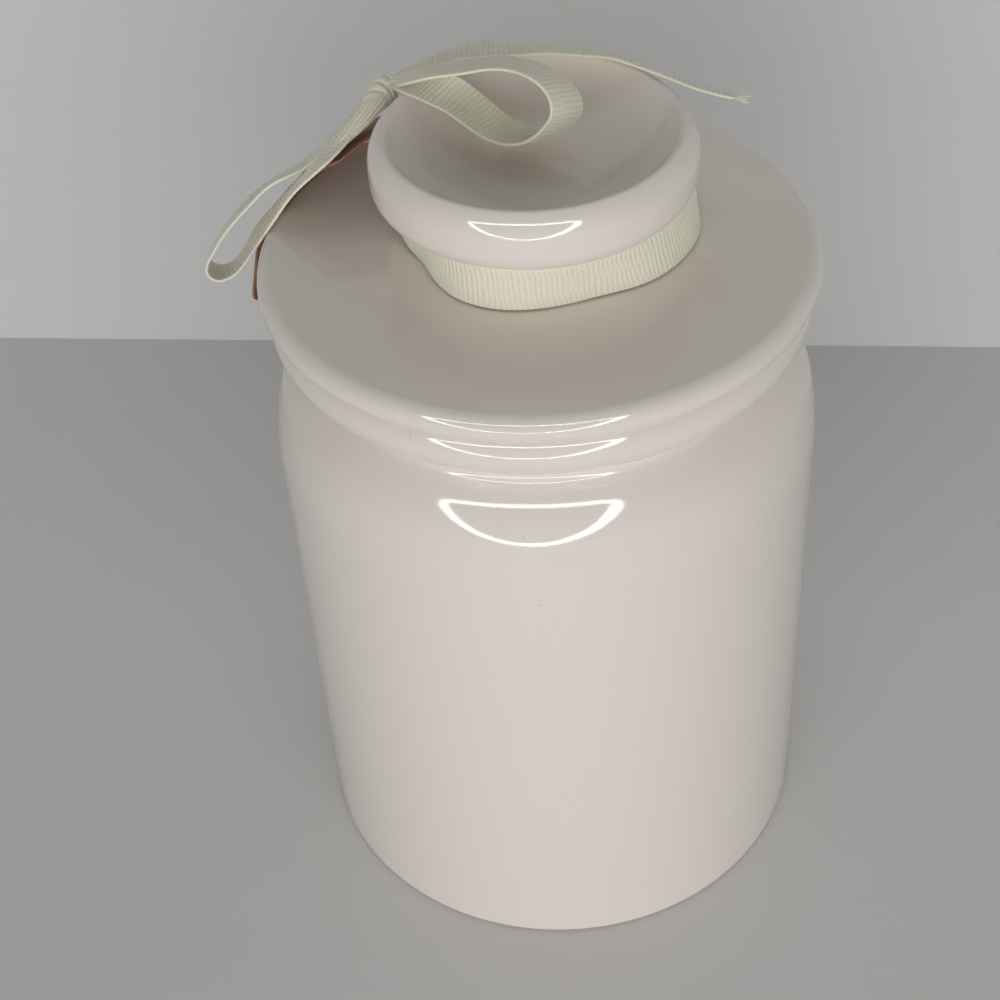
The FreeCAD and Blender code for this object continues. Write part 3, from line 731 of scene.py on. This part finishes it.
def smoothThrough(spots, share):
    # natural cubic curve through the spots, sampled at shares of its chord length
    spots = np.asarray(spots, float)
    gaps = np.linalg.norm(np.diff(spots, axis=0), axis=1)
    knots = np.concatenate([[0.0], np.cumsum(gaps)])
    count = len(spots)
    system, wanted = np.eye(count), np.zeros_like(spots)
    for row in range(1, count - 1):
        before, after = gaps[row - 1], gaps[row]
        system[row, row - 1:row + 2] = before, 2 * (before + after), after
        wanted[row] = 6 * ((spots[row + 1] - spots[row]) / after
                           - (spots[row] - spots[row - 1]) / before)
    bends = np.linalg.solve(system, wanted)
    place = np.asarray(share) * knots[-1]
    left = np.clip(np.searchsorted(knots, place, side="right") - 1, 0, count - 2)
    span = gaps[left][:, None]
    toEnd = knots[left + 1][:, None] - place[:, None]
    fromStart = place[:, None] - knots[left][:, None]
    return (bends[left] * toEnd ** 3 + bends[left + 1] * fromStart ** 3) / (6 * span) + (
        spots[left] / span - bends[left] * span / 6) * toEnd + (
        spots[left + 1] / span - bends[left + 1] * span / 6) * fromStart


def evenly(first, second, step):
    # shares of the length that put the rows of a strip evenly apart along its middle
    trial = np.linspace(0, 1, 2001)
    middle = (smoothThrough(first, trial) + smoothThrough(second, trial)) / 2
    run = np.concatenate([[0.0], np.cumsum(np.linalg.norm(np.diff(middle, axis=0), axis=1))])
    rows = max(8, int(round(run[-1] / step)))
    wanted = np.linspace(0, run[-1], rows + 1)
    return np.interp(wanted, run, trial), wanted


def stripMesh(name, left, right, along, crown):
    # a thin closed strip between two lines of points, in mm, with what the rib tree reads
    middle = (left + right) / 2
    ahead = np.gradient(middle, axis=0)
    across = right - left
    width = np.linalg.norm(across, axis=1)[:, None]
    normal = np.cross(ahead, across)
    normal /= np.linalg.norm(normal, axis=1)[:, None]
    rows, columns = len(left), len(acrossPlaces)
    half = ribbonCloth["thickness"] / 2
    points, outward, side, length = [], [], [], []
    for facing in (1.0, -1.0):
        for place in acrossPlaces:
            share = (place + 1) / 2
            bow = crown * (1 - place ** 2) * np.minimum(1.0, width / ribbonCloth["width"])
            line = left * (1 - share) + right * share + normal * bow
            edge = abs(place) > 0.99
            points.append(line + normal * facing * (0.0 if edge else half))
            outward.append(normal * facing * (0.0 if edge else 1.0))
            side.append(np.full(rows, place))
            length.append(along)
    points, outward = np.array(points), np.array(outward)
    index = np.arange(2 * columns * rows).reshape(2, columns, rows)
    index[1, 0], index[1, -1] = index[0, 0], index[0, -1]
    faces = []
    for column in range(columns - 1):
        for facing in (0, 1):
            a, b = index[facing, column], index[facing, column + 1]
            quads = np.stack([a[:-1], a[1:], b[1:], b[:-1]], axis=1)
            faces += (quads if facing == 0 else quads[:, ::-1]).tolist()
    for row, flip in ((0, True), (rows - 1, False)):
        for column in range(columns - 1):
            ring = [index[0, column, row], index[0, column + 1, row],
                    index[1, column + 1, row], index[1, column, row]]
            ring = [spot for number, spot in enumerate(ring) if spot not in ring[:number]]
            faces.append(ring if flip else ring[::-1])
    used = sorted({spot for face in faces for spot in face})
    renamed = {spot: number for number, spot in enumerate(used)}
    faces = [[renamed[spot] for spot in face] for face in faces]
    flat = points.reshape(-1, 3)[used] * mm
    mesh = meshFrom(name, flat, faces)
    for label, kind, values in (("along", "FLOAT", np.concatenate(length)[used] * mm),
                                ("across", "FLOAT", np.concatenate(side)[used]),
                                ("outward", "FLOAT_VECTOR", outward.reshape(-1, 3)[used])):
        layer = mesh.attributes.new(label, kind, "POINT")
        layer.data.foreach_set("vector" if kind == "FLOAT_VECTOR" else "value", values.ravel())
    return mesh


def ribbonPiece(name, pairs, seed, crown=0.25):
    step = ribbonCloth["ribPitch"] / ribbonCloth["stepsPerRib"]
    first, second = [pair[0] for pair in pairs], [pair[1] for pair in pairs]
    shares, along = evenly(first, second, step)
    left, right = smoothThrough(first, shares), smoothThrough(second, shares)
    piece = newObject(name, stripMesh(name, left, right, along, crown))
    return growRibs(piece, seed), along[-1]


def growRibs(piece, seed):
    return withNodes(piece, ribTree, {
        "Rib Pitch": ribbonCloth["ribPitch"] * mm, "Rib Height": ribbonCloth["ribHeight"] * mm,
        "Rib Wander": ribbonCloth["ribWander"] * mm, "Selvedge Bead": ribbonCloth["selvedgeBead"] * mm,
        "Seed": seed, "Cloth": grosgrain})


knotAt = np.array((-28.157292, 25.455001, 168.599382))  # middle of the knot


def fromKnot(rows):
    return [tuple(knotAt + np.array(spot) for spot in pair) for pair in rows]


bandRun = {
    "clearance": 0.55,
    "lift": 0.42,
    "outside": 2.4,
    # direction, how far the lower and the upper selvedge stand out, lift and spread
    "places": [
        (146, 1.06, 1.06, 11.7, 0.33), (152, 0.99, 0.99, 8.8, 0.52), (160, 0.80, 0.84, 5.4, 0.88),
        (170, 0.47, 0.52, 1.9, 1.0), (182, 0.26, 0.28, 0.4, 1.0), (194, 0.09, 0.09, 0.0, 1.0),
        (206, 0.08, 0.03, 0.0, 1.0), (226, 0.15, 0.02, 0.0, 1.0), (250, 0.13, 0.02, 0.0, 1.0),
        (275, 0.03, 0.00, 0.0, 1.0), (300, 0.05, 0.02, 0.0, 1.0), (323, 0.35, 0.13, 0.0, 1.0),
        (340, 0.57, 0.31, 0.0, 1.0), (358, 0.79, 0.56, 0.0, 1.0), (376, 0.92, 0.78, 0.0, 1.0),
        (396, 0.98, 0.94, 0.0, 1.0), (422, 1.00, 1.00, 0.0, 1.0), (447, 1.02, 1.02, 0.3, 1.0),
        (466, 1.04, 1.04, 1.7, 0.96), (480, 1.07, 1.07, 5.2, 0.82), (487, 1.10, 1.10, 9.0, 0.5),
        (491, 1.13, 1.13, 11.8, 0.3),
    ],
}


def bandPairs(run):
    width = ribbonCloth["width"]
    low = lidShape["knobNeck"] + run["clearance"] + 0.25
    rise = run["lift"] + width - lidShape["knobNeckHeight"]
    bend = lidShape["flareBend"]
    high = low + bend - math.sqrt(bend ** 2 - rise ** 2)
    outside = lidShape["knobRadius"] + run["outside"]
    pairs = []
    for direction, lowOut, highOut, lift, spread in run["places"]:
        way = np.array((cosOf(direction), sinOf(direction), 0.0))
        lowHere = low + lowOut * (outside - low)
        highHere = high + highOut * (outside - high)
        base = lidTop + run["lift"] + lift
        height = math.sqrt((spread * width) ** 2 - (highHere - lowHere) ** 2)
        pairs.append((way * lowHere + (0, 0, base), way * highHere + (0, 0, base + height)))
    return pairs


# each row of a run: its near and its far selvedge, counted from the middle of the knot
frontLoop = [
    ((2.0, -4.1, 2.5), (3.0, -2.0, 3.2)),
    ((4.7, -11.2, 6.9), (6.8, -7.5, 7.9)),
    ((10.0, -14.0, 9.5), (12.9, -8.3, 9.3)),
    ((16.1, -15.7, 11.0), (20.4, -7.9, 9.7)),
    ((20.7, -16.9, 12.2), (25.7, -8.6, 9.7)),
    ((25.1, -19.1, 12.8), (30.4, -11.3, 9.5)),
    ((29.0, -22.6, 12.5), (34.3, -15.1, 8.8)),
    ((31.2, -24.8, 10.7), (36.8, -17.4, 7.1)),
    ((31.7, -26.3, 8.3), (37.6, -19.0, 4.7)),
    ((30.2, -25.9, 5.0), (36.2, -18.7, 1.5)),
    ((27.4, -26.1, 2.6), (32.6, -18.4, -1.0)),
    ((23.5, -24.8, 1.1), (28.4, -16.3, -0.9)),
    ((19.5, -22.4, 1.2), (24.2, -13.7, 0.1)),
    ((15.5, -19.4, 2.6), (20.7, -10.9, 2.0)),
    ((12.2, -17.0, 4.1), (17.3, -8.8, 4.2)),
    ((9.3, -15.5, 5.0), (14.2, -8.6, 6.6)),
    ((6.5, -13.6, 5.5), (10.1, -8.2, 6.5)),
    ((4.0, -11.5, 5.5), (6.0, -7.7, 5.8)),
    ((1.8, -6.8, 3.9), (3.3, -4.1, 4.2)),
    ((0.8, -3.5, 1.8), (2.1, -1.8, 2.5)),
]
longTail = [
    ((2.6, 0.3, 2.1), (2.3, 2.4, 1.6)),
    ((7.3, -1.6, 4.2), (6.8, 2.3, 3.6)),
    ((13.2, -2.0, 6.1), (13.6, 5.1, 5.0)),
    ((20.3, -2.5, 6.8), (20.4, 6.8, 5.0)),
    ((26.6, -2.8, 7.0), (26.9, 6.8, 4.6)),
    ((33.0, -3.5, 7.3), (33.1, 5.9, 4.2)),
    ((38.8, -5.1, 7.4), (39.2, 4.2, 4.0)),
    ((43.2, -7.3, 7.9), (44.1, 1.8, 3.9)),
    ((48.0, -9.4, 7.1), (48.9, -0.5, 2.9)),
    ((52.8, -11.5, 6.0), (53.8, -2.6, 1.7)),
    ((58.6, -14.3, 4.6), (59.7, -5.4, 0.2)),
    ((65.5, -17.3, 3.8), (66.6, -8.5, -0.7)),
]
hangingLoop = [
    ((-2.2, -4.4, 0.8), (-3.1, -2.4, 0.7)),
    ((-6.2, -7.0, -3.1), (-6.8, -1.8, -4.4)),
    ((-11.4, -9.0, -7.3), (-12.8, -1.0, -10.4)),
    ((-17.2, -10.8, -10.8), (-18.7, -2.0, -14.9)),
    ((-22.8, -11.8, -12.9), (-23.8, -3.0, -17.2)),
    ((-27.2, -12.5, -16.4), (-28.2, -3.2, -20.1)),
    ((-30.9, -14.0, -19.5), (-31.7, -4.6, -22.8)),
    ((-34.0, -15.5, -22.6), (-34.9, -6.2, -26.1)),
    ((-36.3, -16.8, -25.6), (-37.4, -7.5, -29.1)),
    ((-37.5, -17.2, -27.7), (-38.6, -7.9, -31.2)),
    ((-37.5, -17.4, -29.6), (-38.6, -7.9, -32.6)),
    ((-36.1, -17.8, -30.7), (-37.3, -8.2, -33.4)),
    ((-33.7, -18.2, -30.2), (-35.0, -8.7, -33.2)),
    ((-31.4, -18.0, -28.8), (-32.7, -8.5, -31.8)),
    ((-29.1, -17.1, -26.5), (-30.5, -7.6, -29.0)),
    ((-25.6, -17.1, -21.7), (-27.2, -7.6, -24.1)),
    ((-22.2, -16.9, -17.2), (-24.0, -8.0, -20.5)),
    ((-18.2, -17.1, -12.0), (-19.8, -8.8, -15.6)),
    ((-12.0, -16.9, -6.6), (-13.3, -10.6, -8.7)),
    ((-6.8, -11.7, -4.0), (-7.8, -7.7, -4.6)),
    ((-3.0, -4.6, -1.5), (-3.3, -2.6, -2.0)),
]
shortTail = [
    ((-2.7, -3.9, -0.3), (-3.2, -2.0, -0.8)),
    ((-6.1, -8.0, -2.8), (-6.7, -4.5, -3.5)),
    ((-11.1, -12.4, -6.8), (-12.1, -7.5, -8.0)),
    ((-15.9, -14.6, -10.7), (-15.8, -10.2, -10.6)),
]

bandPiece, bandLength = ribbonPiece("ribbonNeckBand", bandPairs(bandRun), 1, crown=0.0)
frontPiece, frontLength = ribbonPiece("ribbonFrontLoop", fromKnot(frontLoop), 2)
tailPiece, tailLength = ribbonPiece("ribbonLongTail", fromKnot(longTail), 3)
hangPiece, hangLength = ribbonPiece("ribbonHangingLoop", fromKnot(hangingLoop), 4)
shortPiece, shortLength = ribbonPiece("ribbonShortTail", fromKnot(shortTail), 5)
runLengths = (bandLength, frontLength, tailLength, hangLength, shortLength)
print("ribbon runs", [round(length, 1) for length in runLengths])

# Knot: one pleated wrap, the gathers that leave it and the stem that passes through the tag's hole.
knotShape = {
    # place from the knot's middle, half width, half height
    "wrap": [
        ((2.9, 0.6, 2.0), 0.5, 0.5), ((2.4, 0.2, 1.6), 1.9, 1.7), ((1.5, -0.6, 1.2), 2.7, 2.5),
        ((0.3, -1.5, 0.7), 2.9, 2.7), ((-1.1, -3.0, -0.2), 2.8, 2.5), ((-2.3, -4.4, -1.0), 2.5, 2.1),
        ((-3.1, -5.2, -1.5), 1.9, 1.7), ((-3.5, -5.6, -1.8), 0.6, 0.6),
    ],
    "gathers": [
        ((0.9, -2.0, 0.9), 0.6, 0.6), ((0.4, -2.5, 0.6), 1.9, 1.7), ((-1.3, -4.2, -0.3), 2.3, 1.9),
        ((-3.5, -6.2, -1.8), 2.3, 1.8), ((-5.8, -7.9, -3.4), 2.3, 1.5), ((-8.0, -9.4, -5.0), 2.2, 1.1),
        ((-9.8, -10.5, -6.3), 1.7, 0.7), ((-10.5, -10.9, -6.8), 0.5, 0.3),
    ],
    "spray": [
        ((0.6, -1.0, 0.9), 0.6, 0.6), ((1.3, -1.6, 1.5), 1.6, 1.3), ((2.8, -3.0, 3.0), 1.7, 1.2),
        ((4.3, -5.2, 4.4), 1.6, 0.9), ((5.3, -6.8, 5.2), 0.6, 0.3),
    ],
    "stem": [
        ((0.0, 0.0, -0.6), 0.6, 0.6), ((0.2, 0.0, -0.9), 1.5, 1.5), ((1.3, -0.35, -2.3), 1.45, 1.45),
        ((2.3, -0.6, -4.3), 1.4, 1.4), ((2.9, -0.8, -5.6), 1.3, 1.3), ((3.0, -0.8, -5.9), 0.4, 0.4),
    ],
}


def foldedLump(stations, aroundFolds, alongFolds, depth, skew, upward, around=96, step=0.12):
    # a closed pleated lump along its stations: points, faces and each point's height on its fold
    centres = np.array([knotAt + np.array(spot) for spot, _, _ in stations])
    halves = np.array([(wide, high, 0.0) for _, wide, high in stations])
    gaps = np.linalg.norm(np.diff(centres, axis=0), axis=1)
    rows = max(12, int(gaps.sum() / step))
    shares = np.linspace(0, 1, rows)
    line = smoothThrough(centres, shares)
    knots = np.concatenate([[0.0], np.cumsum(gaps)]) / gaps.sum()
    wide, high = (np.interp(shares, knots, halves[:, column]) for column in (0, 1))
    ahead = np.gradient(line, axis=0)
    ahead /= np.linalg.norm(ahead, axis=1)[:, None]
    side = np.cross(np.tile(np.asarray(upward, float), (rows, 1)), ahead)
    side /= np.linalg.norm(side, axis=1)[:, None]
    up = np.cross(ahead, side)
    angles = np.linspace(0, 2 * math.pi, around, endpoint=False)
    phase = aroundFolds * angles[None, :] / 2 + alongFolds * math.pi * shares[:, None] + skew * np.sin(
        angles[None, :] + 2.2 * shares[:, None])
    fold = np.abs(np.sin(phase)) ** 0.6
    scale = 1 - depth * (1 - fold)
    sideways = (np.cos(angles)[None, :] * scale * wide[:, None])[..., None]
    upwards = (np.sin(angles)[None, :] * scale * high[:, None])[..., None]
    points = line[:, None] + side[:, None] * sideways + up[:, None] * upwards
    points = np.concatenate([points.reshape(-1, 3), line[:1], line[-1:]])
    height = np.concatenate([fold.ravel(), [0.5, 0.5]])
    faces = []
    for row in range(rows - 1):
        for spot in range(around):
            after = (spot + 1) % around
            faces.append((row * around + spot, row * around + after,
                          (row + 1) * around + after, (row + 1) * around + spot))
    last = (rows - 1) * around
    for spot in range(around):
        after = (spot + 1) % around
        faces.append((after, spot, rows * around))
        faces.append((last + spot, last + after, rows * around + 1))
    return points * mm, faces, height


def makeKnot(shape):
    tagUp = (-0.453475, 0.121508, 0.882948)  # the line that the tag turns about
    points, faces, heights = [], [], []
    # folds round the lump and along it, how deep and how slanted they are, and which way is up
    for name, aroundFolds, alongFolds, depth, skew, upward in (
            ("wrap", 0, 6.0, 0.24, 1.7, tagUp), ("gathers", 12, 0.9, 0.20, 0.5, tagUp),
            ("spray", 8, 0.4, 0.16, 0.4, (0, 0, 1)), ("stem", 8, 0.5, 0.12, 0.3, (0, 1, 0))):
        some, quads, height = foldedLump(shape[name], aroundFolds, alongFolds, depth, skew, upward)
        base = sum(len(part) for part in points)
        points.append(some)
        faces += [tuple(spot + base for spot in quad) for quad in quads]
        heights.append(height)
    mesh = meshFrom("ribbonKnot", np.concatenate(points), faces)
    # each point's fold height is kept as rib, so the cloth paints shade in the fold hollows
    layer = mesh.attributes.new("rib", "FLOAT", "POINT")
    layer.data.foreach_set("value", np.concatenate(heights))
    mesh.materials.append(grosgrain)
    return newObject("ribbonKnot", mesh)


knotPiece = makeKnot(knotShape)
print("knot made")

frayCloth = {
    "threads": 26,
    "threadLength": 3.4,
    "threadRadius": 0.07,
    "spread": 0.42,
    "seed": 7,
}


def makeFrayTree():
    # loose threads at a cut end: one bent thread on each point of the end line
    tree = bpy.data.node_groups.new("frayedEnd", "GeometryNodeTree")
    given, made = shapeSockets(tree, {"Thread Length": 0.003, "Thread Radius": 0.0001, "Spread": 0.4,
                                      "Seed": 1})
    thread = addNode(tree, "GeometryNodeCurveQuadraticBezier", Resolution=5)
    thread.inputs["Start"].default_value = (0, 0, -0.12)
    thread.inputs["Middle"].default_value = (0.0, 0.10, 0.5)
    thread.inputs["End"].default_value = (0.16, 0.16, 1.0)
    stretch = tree.nodes.new("GeometryNodeTransform")
    tree.links.new(thread.outputs[0], stretch.inputs["Geometry"])
    sizes = tree.nodes.new("ShaderNodeCombineXYZ")
    for slot in range(3):
        tree.links.new(given.outputs["Thread Length"], sizes.inputs[slot])
    tree.links.new(sizes.outputs[0], stretch.inputs["Scale"])
    ring = addNode(tree, "GeometryNodeCurvePrimitiveCircle", Resolution=6)
    tree.links.new(given.outputs["Thread Radius"], ring.inputs["Radius"])
    tube = tree.nodes.new("GeometryNodeCurveToMesh")
    tube.inputs["Fill Caps"].default_value = True
    tree.links.new(stretch.outputs[0], tube.inputs["Curve"])
    tree.links.new(ring.outputs[0], tube.inputs["Profile Curve"])
    stray = addNode(tree, "FunctionNodeRandomValue", data_type="FLOAT_VECTOR")
    stray.inputs["Min"].default_value, stray.inputs["Max"].default_value = (-1, -1, -1), (1, 1, 1)
    tree.links.new(given.outputs["Seed"], stray.inputs["Seed"])
    wide = addNode(tree, "ShaderNodeVectorMath", operation="SCALE")
    tree.links.new(stray.outputs["Value"], wide.inputs[0])
    tree.links.new(given.outputs["Spread"], wide.inputs["Scale"])
    leant = addNode(tree, "ShaderNodeVectorMath", operation="ADD")
    tree.links.new(namedAttribute(tree, "ahead", "FLOAT_VECTOR"), leant.inputs[0])
    tree.links.new(wide.outputs[0], leant.inputs[1])
    turn = addNode(tree, "FunctionNodeAlignRotationToVector", axis="Z")
    tree.links.new(leant.outputs[0], turn.inputs["Vector"])
    lengths = addNode(tree, "FunctionNodeRandomValue", data_type="FLOAT")
    lengths.inputs[2].default_value, lengths.inputs[3].default_value = 0.35, 1.0
    tree.links.new(given.outputs["Seed"], lengths.inputs["Seed"])
    planted = tree.nodes.new("GeometryNodeInstanceOnPoints")
    tree.links.new(given.outputs["Geometry"], planted.inputs["Points"])
    tree.links.new(tube.outputs[0], planted.inputs["Instance"])
    tree.links.new(turn.outputs[0], planted.inputs["Rotation"])
    tree.links.new(lengths.outputs[1], planted.inputs["Scale"])
    real = tree.nodes.new("GeometryNodeRealizeInstances")
    tree.links.new(planted.outputs[0], real.inputs[0])
    # threads are kept near a rib top, so they get almost none of the cloth's painted shade
    finishShape(tree, storeOnPoints(tree, real.outputs[0], "rib", 0.9), given, made)
    return tree


def frayedEnd(name, rows, look):
    # threads along the last row of a run, pointing the way the run goes
    before, last = (np.array(fromKnot(rows)[row]) for row in (-2, -1))
    ahead = last.mean(axis=0) - before.mean(axis=0)
    ahead /= np.linalg.norm(ahead)
    shares = np.linspace(0.02, 0.98, look["threads"])[:, None]
    mesh = bpy.data.meshes.new(name)
    spots = (last[0] * (1 - shares) + last[1] * shares) * mm
    mesh.from_pydata([tuple(spot) for spot in spots], [], [])
    layer = mesh.attributes.new("ahead", "FLOAT_VECTOR", "POINT")
    layer.data.foreach_set("vector", np.tile(ahead, look["threads"]))
    return withNodes(newObject(name, mesh), makeFrayTree(), {
        "Thread Length": look["threadLength"] * mm, "Thread Radius": look["threadRadius"] * mm,
        "Spread": look["spread"], "Seed": look["seed"], "Cloth": grosgrain})


frayPiece = frayedEnd("ribbonFrayedEnd", longTail, frayCloth)
print("frayed end made")

for piece, node in ((bandPiece, "ribbon_neck_band"), (frontPiece, "ribbon_front_loop"),
                    (tailPiece, "ribbon_long_tail"), (hangPiece, "ribbon_hanging_loop"),
                    (shortPiece, "ribbon_short_tail"), (knotPiece, "ribbon_knot"), (frayPiece, None)):
    if node:
        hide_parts(node)
    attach(piece, "ribbon")

# Tag: the card bows a little across its width, so its far edge hangs below its near one.
tagShape = {
    "across": (0.2588, 0.9659, 0.0),
    "nearEdge": 1.3,
    "width": 32.0,
    "flatShare": 0.12,
    "bow": 8.0,
    "tuck": 1.2,
    "tuckHeight": 137.5,
    "tuckSpread": 7.0,
    "cuts": 16,
}


def makeTag(shape):
    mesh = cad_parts["hang_tag"].data.copy()
    work = bmesh.new()
    work.from_mesh(mesh)
    bmesh.ops.remove_doubles(work, verts=work.verts, dist=2e-6)
    for cut in range(1, shape["cuts"]):
        level = shape["nearEdge"] + shape["width"] * cut / shape["cuts"]
        place = tuple(np.array(shape["across"]) * level * mm)
        bmesh.ops.bisect_plane(work, geom=work.verts[:] + work.edges[:] + work.faces[:], dist=1e-7,
                               plane_co=place, plane_no=shape["across"])
    for corner in work.verts:
        share = (corner.co.dot(Vector(shape["across"])) / mm - shape["nearEdge"]) / shape["width"]
        lowered = shape["bow"] * (max(0.0, share - shape["flatShare"]) / (1 - shape["flatShare"])) ** 1.5
        height = corner.co.z / mm
        near = math.exp(-((height - shape["tuckHeight"]) / shape["tuckSpread"]) ** 2)
        corner.co.x += shape["tuck"] * mm * near
        corner.co.z -= lowered * mm
    work.to_mesh(mesh)
    work.free()
    mesh.name = "cardTag"
    mesh.materials.clear()
    mesh.materials.append(kraft)
    return newObject("cardTag", mesh)


tagPiece = makeTag(tagShape)
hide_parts("hang_tag")
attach(tagPiece, "tag")
print("tag made")
